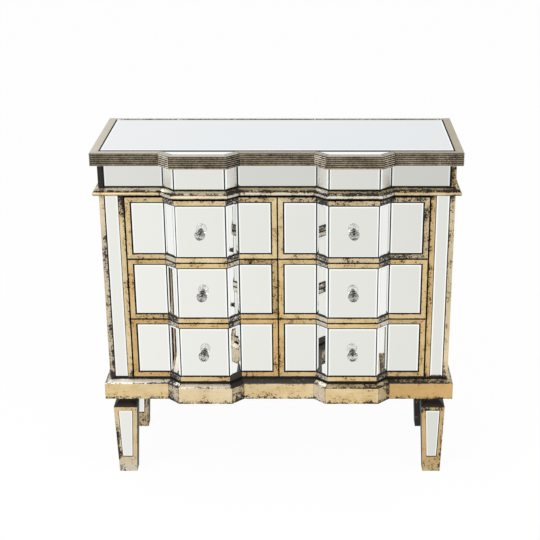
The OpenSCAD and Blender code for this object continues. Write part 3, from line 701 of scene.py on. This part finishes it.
gilt_piece("case_strips", CASE, parts, "case_strips")


# Case mirrors: a tall narrow pane on each front post and a large pane on each side, cut from
# 4 mm glass and glued to the wood between the gilt strips, 1 mm clear of them.

line_gap = 0.001
glass_inset = core_inset - glass_t
post_low = strips_low.z + line_gap
glass_start, glass_end = post_x + strip_w + line_gap, outer_x - strip_w - line_gap
posts = [[-glass_end, -glass_start], [glass_start, glass_end]]
glass_y = front_y + glass_inset
glass_x = half_w - glass_inset
side_y = [strip_y + strip_w + line_gap, case_back - strip_w - line_gap]


def case_panes(z0, z1, fronts):
    """Front and back corners of panes on the posts or frieze ends, and of the two side panes."""
    start = [[a, glass_y] for a, _ in fronts] + [[glass_x, side_y[0]], [-glass_x, side_y[1]]]
    end = [[b, glass_y] for _, b in fronts] + [[glass_x, side_y[1]], [-glass_x, side_y[0]]]
    inward = np.array([[0, glass_t]] * len(fronts) + [[-glass_t, 0], [glass_t, 0]])
    start, end = np.array(start), np.array(end)
    return upright(start, end, z0, z1), upright(start + inward, end + inward, z0, z1)


pane_piece("case_mirrors", CASE, mirror, *case_panes(post_low, bead_low.z, posts),
           [0.95, 1, 0.97, 0.97], bevel_w, "case_mirrors")


# Bead: a moulding in mitred lengths under the frieze, with a round nose, a quirk above it
# and a sloping ledge that meets the frieze glass. Painted shade blackens the nose's underside
# and the quirk, and the nose is dulled above and below its middle, leaving a painted sheen on
# its front. Cream at the left, olive brown at the right, with a painted highlight on the
# ledge's cants that face left.

nose_r, bead_inset, ledge_inset, nose_points = 0.0055, 0.0015, 0.006, 11
turn = np.radians(np.linspace(-90, 75, nose_points))
inset = np.concatenate([[core_inset], bead_inset + nose_r - nose_r * np.cos(turn),
                        [0.0068, ledge_inset, ledge_inset + 0.0006, 0.0145, 0.0165, glass_inset,
                         core_inset]])
z = np.concatenate([[0], nose_r + nose_r * np.sin(turn),
                    [0.0112, 0.0128, 0.0148, 0.0176, 0.0184, 0.020, 0.020]])
grid = carried(outline(inset, np.full(19, back_inset)), CASE_SIDES, bead_low.z + z, 24)
# Painted shade on the nose's underside and at its top by the quirk; the nose is dulled above and
# below its middle, leaving a painted sheen on its front.
nose_shade = np.interp(turn, [-1.57, -0.9, -0.6, -0.2, 0.5, 1.31], [1, 0.9, 0.25, -0.1, 0, 0.25])
nose_painted_sheen = np.interp(turn, [-0.6, 0, 1.31], [0.2, 0, 0.15])
on_ledge = np.arange(19) > 13
ledge = worn_and_shaded(24, [.32, .27, .35], [.1], [.4, .35, .42], [.8], [.45, .35, .4], [0], [.5, .6],
             [.5], [.6, .55, .6], [.5], [.3])
nose = worn_and_shaded(24, [.15, .2, .35], [.4], [.05, .05, .3], [.5], [.4, .35, .45], [.55],
            [.25, .35], [.4], [.3, .2, .3], [.2], [.2])
ledge_tone_and_highlight = by_length(.5, .9, .4, 0, .15, .9, .1, .1, 0, 0, .3)
nose_pale = by_length(.1, .8, .5, .8, .6, .8, .8, .8, .1, .1, .1)
# Painted shade: black under the bead, on the nose's underside and in the quirk.
black = np.concatenate([[1], nose_shade, [0.5, 0.45, 0.35, -0.15, 0, 0.8, 1]])
wear_and_shade = np.where(on_ledge, ledge, nose + np.concatenate([[0], nose_painted_sheen, np.zeros(7)]))
gilt_piece("bead_moulding", CASE, [(grid, wear_and_shade, np.where(on_ledge, ledge_tone_and_highlight, nose_pale), black)],
           "bead_moulding")


# Frieze mirrors: nine panes that follow the front, cut to meet at the bays' corners, and one on
# each side. They stand under the top's edge, and a painted shade makes them a little greyer than
# the drawers, most on the three flats.

pane_gap = 0.0005
depths = np.array([glass_inset, core_inset])


def fitted(line, z0, z1):
    """Front and back corners of panes between the corners of a line that is given at both depths,
    each cut short by half the pane gap."""
    start, end = line[:-1], line[1:]
    run = (end - start)[:, 0]
    cut = run / np.linalg.norm(run, axis=-1, keepdims=True) * pane_gap / 2
    return [upright(start[:, k] + cut, end[:, k] - cut, z0, z1) for k in (0, 1)]


# Widths for each side (bottom, end, top, start) of the five panes that follow a bay. The canted
# panes have broader bevels, and the ground edges are broadest where two panes meet at a ridge.
foot_w, head_w, stile_w, hollow_w, ridge_w, broad_w = 0.0003, 0.0025, 0.0024, 0.0016, 0.0022, 0.0065
plain_edge, canted_edge = [bevel_w] * 4, [bevel_w, broad_w] * 2
edge_widths = np.array([plain_edge, canted_edge, plain_edge, canted_edge, plain_edge])
ground_widths = np.array([
    [foot_w, hollow_w, head_w, stile_w], [foot_w, ridge_w, head_w, hollow_w],
    [foot_w, ridge_w, head_w, ridge_w], [foot_w, hollow_w, head_w, ridge_w],
    [foot_w, stile_w, head_w, hollow_w]])
bay_lines = np.array([1, 0.6, 1, 0.6, 1])
whole = [0, 1, 2, 3, 0, 1, 2, 3, 4]
frieze_z = [bead_high.z + line_gap, top_low.z]
fronts, backs = (np.concatenate(pair) for pair in zip(
    fitted(front_line(depths, np.full(2, glass_end)), *frieze_z), case_panes(*frieze_z, [])))
pane_piece("frieze_mirrors", CASE, mirror, fronts, backs,
           [.83, 1, .93, .97, .80, 1, .90, .97, .79, .9, .95],
           np.concatenate([edge_widths[whole] * [0.17, 1, 1, 1], [plain_edge] * 2]),
           "frieze_mirrors",
           ground=np.concatenate([ground_widths[whole] + [0.0019, 0, 0, 0], [[ground_w] * 4] * 2]),
           line=np.concatenate([bay_lines[whole], [1, 1]]),
           # The canted panes' middles take part of the paler bevel colour as a painted reflection.
           painted_reflection=np.array([0, .9, 0, .7, 0, .9, 0, .7, 0, 0, 0]),
           haze=np.array([0, .32, 0, .3, 0, .32, 0, .3, 0, 0, 0]))


# Top edge: a reeded moulding in mitred lengths glued round the top board, standing proud of the
# glass. The reeds keep their leaf on the crests only; the grooves and the underside are
# blackened as painted shade. The flat rim above is rubbed to champagne, with a painted highlight
# that turns it paler, and the reeds carry a painted highlight on the cants that face left.

reeds, reed_points, rim_w, rim_back = 6, 7, 0.022, 0.012
lip, fillet, fillet_inset = 0.0017, 0.0011, 0.0008
edge_h = top_high.z - top_low.z
pitch = (edge_h - lip - fillet) / reeds
reach = math.radians(70)
turn = np.tile(np.linspace(-reach, reach, reed_points), reeds)
centre = np.repeat(fillet + pitch * (np.arange(reeds) + 0.5), reed_points)
bulge = pitch / 2 * (1 - np.cos(turn))
inset = np.concatenate([[rim_w, fillet_inset, fillet_inset], bulge,
                        [0.0016, 0.0005, 0, 0.0005, 0.0016, rim_w - arris, rim_w]])
z = np.concatenate([[0, 0, fillet], centre + pitch / 2 * np.sin(turn), edge_h - lip * np.array(
    [0.97, 0.8, 0.5, 0.2, 0]), [edge_h, edge_h - arris]])
grid = carried(outline(inset, inset * rim_back / rim_w), AROUND, top_low.z + z, 40)
groove_shade = np.interp(np.abs(turn) / reach, [0, 0.15, 0.36, 1], [-0.5, -0.2, 1.3, 1.5])
# The grooves of the canted lengths get less painted shade than those of the straight ones, the
# cants that face left least.
cant_groove_light = np.array([0, 0.8, 0, 0.45, 0, 0.82, 0, 0.6, 0, 0, 0, 0])[:, None]
# Painted shade: black under the moulding and in the reeds' grooves.
black = np.concatenate([np.tile([1, -0.2, -0.2], (12, 1)), groove_shade - cant_groove_light, np.tile(
    [0.7, 0.2, -0.6, -1.5, -1.5, -1.5, 0.2], (12, 1))], 1)[:, None]
on_rim = np.arange(len(z)) > reeds * reed_points + 4
face = worn_and_shaded(40, [.5, .6, .35, .25, .4], [0], [.35, .3], [.55, .4], [.35, .2, .3], [0],
            [.25, .3], [.15], [.3, .35], [.4], [.4], [.4])
rim = worn_and_shaded(40, [.72], [1.1], [.82], [1.2], [1.2], [1.42], [1], [1.42], [1.25], [1], [.68],
           [.8, .65])
face_tone_and_highlight = by_length(.3, .8, .3, .5, .3, .7, .3, .5, .3, .3, .3, .4)
rim_highlight = by_length(.65, .8, .7, .75, .55, .75, .6, .7, .45, .45, .9, .75)
gilt_piece("top_edge_moulding", CASE, [(grid, np.where(on_rim, rim, face), np.where(
    on_rim, rim_highlight, face_tone_and_highlight), black)], "top_edge_moulding")


# Top mirrors: one large pane with a straight front edge and a small pane in front of it in each
# bay, laid on the top board inside the rim. The large pane's front ground edge is broad and dark,
# a strip of painted shade along the rim, and the small panes' middles take the paler bevel
# colour as a painted highlight.

glass_low, glass_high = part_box("top_mirrors")
bay_mirror = bays(np.array([rim_w + line_gap]))[:, 0]
split_y, half_back = front_y + rim_w, bay_mirror[3, 0] - bay_x
large = [[glass_low.x, split_y + line_gap / 2], [glass_high.x, split_y + line_gap / 2],
         [glass_high.x, glass_high.y], [glass_low.x, glass_high.y]]
small = [bay_mirror[1], bay_mirror[2], [bay_x + half_back, split_y - line_gap / 2],
         [bay_x - half_back, split_y - line_gap / 2]]
other = [[-x, y] for x, y in (small[1], small[0], small[3], small[2])]
upper = np.array([[(x, y, glass_high.z) for x, y in pane] for pane in (large, small, other)])
pane_piece("top_mirrors", CASE, top_mirror, upper, upper - [0, 0, glass_t],
           1.0, [[0.007, bevel_w, bevel_w, bevel_w], plain_edge, plain_edge], "top_mirrors",
           ground=[[0.0125, 0.0025, 0.0012, 0.0025], *[[0.0008, 0.0015, 0.0008, 0.0015]] * 2],
           drops=(0.0003, 0.0004), painted_reflection=[0, 0.9, 0.9])


# Drawers: a black-stained front board with its bay block carries a mitred frame of the same gilt
# strip and five bevelled panes. The box behind is pine and slides on two runners in its sides.

drawer_h = front_high.z - front_low.z
# Wear of the five lengths of the bottom rail and of the top rail and of both uprights, from left
# to right, and the paleness of the flat lengths.
DRAWERS = {
    "bottom_left": ([.1, .65, .1, 1.2, .1], [.15, .45, .05, .6, 0], [.1, 0], -0.6),
    "bottom_right": ([.1, .55, 0, .62, .3], [.1, .25, 0, .1, .4], [.1, 0], -0.3),
    "middle_left": ([.25, .68, 0, .62, .1], [.2, .5, 0, .45, .5], [.05, .3], -0.35),
    "middle_right": ([0, .35, .1, .55, .15], [.2, .57, .15, .6, .15], [0, .05], -0.1),
    "top_left": ([.2, .4, 0, .57, 0], [.25, .66, 0, .63, .38], [.05, .05], 0.05),
    "top_right": ([.1, .5, .27, .6, .62], [.45, .75, .38, .64, .58], [.1, .43], 0.15)}
# How far the pane on the outer cant leans back beside the bay, in a left and a right drawer.
LEANS = {"top": (0.0015, 0.0008), "middle": (0.0005, 0.0008), "bottom": (0.0003, 0.0004)}


def half_front(inset, margin, sign):
    """Six corners of one drawer's front line, cut short by margins, on the side of sign."""
    start = np.stack([front_low.x + margin, front_y + inset], -1)[None]
    stop = np.stack([front_high.x - margin, front_y + inset], -1)[None]
    return np.concatenate([start, bays(inset), stop]) * [sign, 1]


across = np.array([0, 0, part_arris, arris, 2 * arris, strip_w - arris, strip_w - part_arris,
                   strip_w, strip_w])
deep = case_inset + np.array([strip_t, arris, part_arris, 0, 0, 0, part_arris, arris, strip_t])
joint_gap = 0.0001
worn_edge = np.array([1, .9, .6, .1, .1, .1, .6, .9, 1])
# Painted shade along the rails' edges that meet another row of drawers.
row_gap_shade = np.array([1, 1, .95, .7, .1, .1, .6, .9, 1])


def frame_parts(sign, row, low, low_rail, high_rail, uprights, tone):
    """Mitred strips of one drawer: two that follow the bay and two uprights. The rails carry
    painted shade, blacker where they meet another row of drawers."""
    corners = half_front(deep, 0 * deep, sign)
    corners[0, :, 0] += sign * (across + joint_gap)
    corners[-1, :, 0] -= sign * (across + joint_gap)
    # The cants take a painted highlight that turns them silver.
    pale_and_highlight = by_length(tone, 0.8, 0.5 * tone + 0.1, 0.8, tone)
    parts = []
    for height, rail, last in ((across, low_rail, "bottom"), (drawer_h - across, high_rail, "top")):
        wear_and_shade = worn_and_shaded(14, *[[value] for value in rail[::sign]])
        # The joints with the uprights aren't rubbed as the mitres are.
        wear_and_shade[0, 0] -= mitre_wear
        wear_and_shade[-1, -1] -= mitre_wear
        parts.append((carried(corners, [0, 1, 2, 3, 4], low + height, 14), wear_and_shade, pale_and_highlight,
                      worn_edge if row == last else row_gap_shade))
    x = np.stack([front_low.x + across, front_high.x - across]) * sign
    share = np.linspace(0, 1, 17)[:, None]
    z = low + across + (drawer_h - 2 * across) * share
    grid = np.stack(np.broadcast_arrays(x[:, None], front_y + deep, z), -1)
    return parts + [(grid, by_length(*uprights[::sign]), tone, worn_edge)]


# Knobs: a ball of cut glass on a small collar and rosette of darkened nickel, held by one screw
# from inside the drawer. Each band of the ball has fourteen triangular facets each way.

crystal, tree, shader = new_material(
    "cut_crystal", Transmission_Weight=1.0, IOR=1.54, Roughness=0.0)
feed(tree, shader, Base_Color=between(
    tree, painted(tree, "facet"), rgb(188, 186, 185), rgb(254, 255, 255)))
nickel, tree, shader = new_material("darkened_nickel", Metallic=1.0)
film = noise(tree, on_object(tree), 240.0, 3.0)
bright = between(tree, film, rgb(206, 204, 202), rgb(238, 236, 234))
feed(tree, shader, Base_Color=between(tree, painted(tree, "collar"), bright, rgb(52, 48, 46)),
     Roughness=weighted(tree, (film, 0.25), plus=0.12))

knob_r, knob_flat_r, knob_sides = 0.015, 0.008, 14


def cut_ball(name, centre, seed):
    """Facets between rings at polar angles p from the front, every other ring turned by half a
    step: (sin p cos t, -cos p, sin p sin t) times the radius, at angles t round the ring."""
    back = math.pi - math.asin(knob_flat_r / knob_r)
    polar = np.append(np.radians([14, 31, 48, 65, 82, 99, 116, 133]), back)[:, None]
    step = np.arange(knob_sides) + 0.5 * (np.arange(len(polar)) % 2)[:, None]
    turn = step * 2 * math.pi / knob_sides
    ring = np.stack([np.sin(polar) * np.cos(turn), np.broadcast_to(-np.cos(polar), turn.shape),
                     np.sin(polar) * np.sin(turn)], -1) * knob_r + np.array(centre)
    index = np.arange(turn.size).reshape(turn.shape)
    faces = [index[0].tolist(), index[-1, ::-1].tolist()]
    for k in range(len(polar) - 1):
        a, b = index[k], index[k + 1]
        lead, trail = (np.roll(b, -1), b) if k % 2 else (b, np.roll(b, 1))
        faces += np.stack([a, trail, lead], -1).tolist()
        faces += np.stack([a, lead, np.roll(a, -1)], -1).tolist()
    mesh = bpy.data.meshes.new(name)
    mesh.from_pydata(ring.reshape(-1, 3), [], faces)
    work = bmesh.new()
    work.from_mesh(mesh)
    bmesh.ops.recalc_face_normals(work, faces=work.faces)
    work.to_mesh(mesh)
    work.free()
    tone = np.random.default_rng(seed).uniform(0, 1, len(faces)) > 0.3
    paint(mesh, "facet", "FACE", tone.astype(float))
    return mesh


def turned(profile, centre, sides=32):
    """A turned shape: radius and depth pairs swept round the Y axis through centre."""
    radius, depth = np.array(profile).T
    turn = np.arange(sides) * 2 * math.pi / sides
    return np.stack(np.broadcast_arrays(
        centre[0] + radius[:, None] * np.cos(turn), depth[:, None],
        centre[2] + radius[:, None] * np.sin(turn)), -1)[None]


for number, (row, side) in enumerate((r, s) for r in ROWS for s in SIDES):
    body, sign = f"drawer_{row}_{side}", SIDES[side]
    cover(black_stain, body + "_board")
    cover(pine, body + "_box")
    frame_low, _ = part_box(body + "_frame")
    gilt_piece(body + "_gilding", body,
               frame_parts(sign, row, frame_low.z, *DRAWERS[f"{row}_{side}"]), body + "_frame")
    margin = strip_w + line_gap
    line = half_front(depths, np.full(2, margin), sign)[::sign]
    lean = np.zeros((5, 4))
    if sign < 0:
        lean[1, 1:3] = LEANS[row][0]
    else:
        lean[3, [0, 3]] = LEANS[row][1]
    # The top row's panes carry a painted shade, a little darker than the rows below.
    pane_piece(body + "_panes", body, mirror,
               *fitted(line, frame_low.z + margin, frame_low.z + drawer_h - margin),
               0.97 if row == "top" else 1.0, edge_widths, body + "_mirrors",
               # The canted panes' middles take part of the paler bevel colour as a painted
               # reflection.
               ground=ground_widths, fall=lean, line=bay_lines, painted_reflection=[0, 0.5, 0, 0.5, 0])
    ball_low, ball_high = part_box(body + "_knob")
    _, metal_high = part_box(body + "_fittings")
    x, z = (ball_low.x + ball_high.x) / 2, (ball_low.z + ball_high.z) / 2
    ball = cut_ball(body + "_crystal", (x, ball_low.y + knob_r, z), number)
    show(body + "_crystal", body, "cut_glass", crystal, ball, body + "_knob")
    back, glass = ball_high.y, front_y + glass_inset - bay_d
    stem = [(0.002, back - 0.009), (0.002, back), (0.0062, back), (0.0065, back + 0.0006),
            (0.0054, back + 0.0022), (0.0056, back + 0.0038), (0.0066, back + 0.0046),
            (0.0088, glass - 0.0021), (0.0095, glass - 0.0012), (0.0095, glass),
            (0.002, glass), (0.002, metal_high.y - 0.003), (0.0038, metal_high.y - 0.003),
            (0.004, metal_high.y - 0.0022), (0.0034, metal_high.y - 0.0004),
            (0.0024, metal_high.y)]
    rounds = turned(stem, (x, 0, z))
    mesh = bpy.data.meshes.new(body + "_rosette")
    mesh.from_pydata(rounds.reshape(-1, 3), [], tube_faces(rounds))
    # The collar and the hollow of the rosette are dark, and the rosette's rim is bright.
    collar = np.interp(np.arange(len(stem)), [0, 1, 2, 3, 7, 9], [1, 0.2, 0.6, 1, 1, 0])
    paint(mesh, "collar", "POINT", np.repeat(collar, rounds.shape[2]))
    mesh.shade_smooth()
    mesh.set_sharp_from_angle(angle=math.radians(40))
    show(body + "_rosette", body, "bright_metal", nickel, mesh, body + "_fittings")


# Studio: a white floor that keeps the shadow, an even white surround and two large soft lamps.
# The camera stands where the photograph was taken from, a little to the right of the middle.

floor, tree, shader = new_material("studio_floor", Roughness=0.9)
paper = noise(tree, on_object(tree), 3.0, 2.0)
feed(tree, shader, Base_Color=between(tree, paper, rgb(240, 240, 240), rgb(244, 244, 244)))


def seen(tree):
    """1 for what shows straight, in a mirror or through glass, and 0 for light on a piece."""
    path = add(tree, "ShaderNodeLightPath").outputs
    return calc(tree, "MAXIMUM", path["Is Camera Ray"], calc(
        tree, "MAXIMUM", path["Is Glossy Ray"], path["Is Transmission Ray"]))


glow = add(tree, "ShaderNodeEmission", {"Color": rgb(255, 255, 255), "Strength": 1.02})
mixed = add(tree, "ShaderNodeMixShader", {
    0: calc(tree, "MULTIPLY", seen(tree), 0.93),
    1: tree.nodes["Principled BSDF"].outputs[0], 2: glow.outputs[0]})
tree.links.new(mixed.outputs[0], tree.nodes["Material Output"].inputs[0])
mesh = bpy.data.meshes.new("floor")
half_floor = 30.0
mesh.from_pydata([(half_floor * x, half_floor * y, 0) for x, y in
                  ((-1, -1), (1, -1), (1, 1), (-1, 1))], [], [(0, 1, 2, 3)])
mesh.materials.append(floor)
new_object("floor", mesh)

world = bpy.data.worlds.new("studio")
scene.world = world
world.use_nodes = True
tree = world.node_tree
sky = tree.nodes["Background"]
sky.inputs["Color"].default_value = rgb(255, 255, 255)
tree.links.new(weighted(tree, (seen(tree), 0.45), plus=0.55), sky.inputs["Strength"])


def lamp(name, place, aim, size, power):
    """A square soft lamp at place, turned towards aim; size in metres, power in watts."""
    light = bpy.data.lights.new(name, "AREA")
    light.size, light.energy = size, power
    stand = new_object(name, light)
    stand.location = place
    x, y, z = np.array(aim) - np.array(place)
    stand.rotation_euler = (math.atan2(math.hypot(x, y), -z), 0, math.atan2(-x, y))
    stand.visible_camera = False


lamp("key_lamp", (-2.2, -2.6, 2.8), (0, 0, 0.5), 2.0, 60)
lamp("fill_lamp", (2.6, -2.4, 2.0), (0, 0, 0.5), 2.0, 25)

# Width, focal length and middle of the picture in its pixels; place and dip of the camera.
picture, focal, principal_x = 540, 1236.05, 308.84
camera_x, camera_distance, camera_z, camera_dip = 0.08606, 3.18606, 1.8829, 21.218
camera = bpy.data.cameras.new("camera")
camera.sensor_width = 36
camera.lens = focal / picture * camera.sensor_width
camera.shift_x = -(principal_x - picture / 2) / picture
eye = new_object("camera", camera)
eye.location = (camera_x, front_y - camera_distance, camera_z)
eye.rotation_euler = (math.radians(90 - camera_dip), 0, 0)
scene.camera = eye
scene.view_settings.view_transform = "Standard"
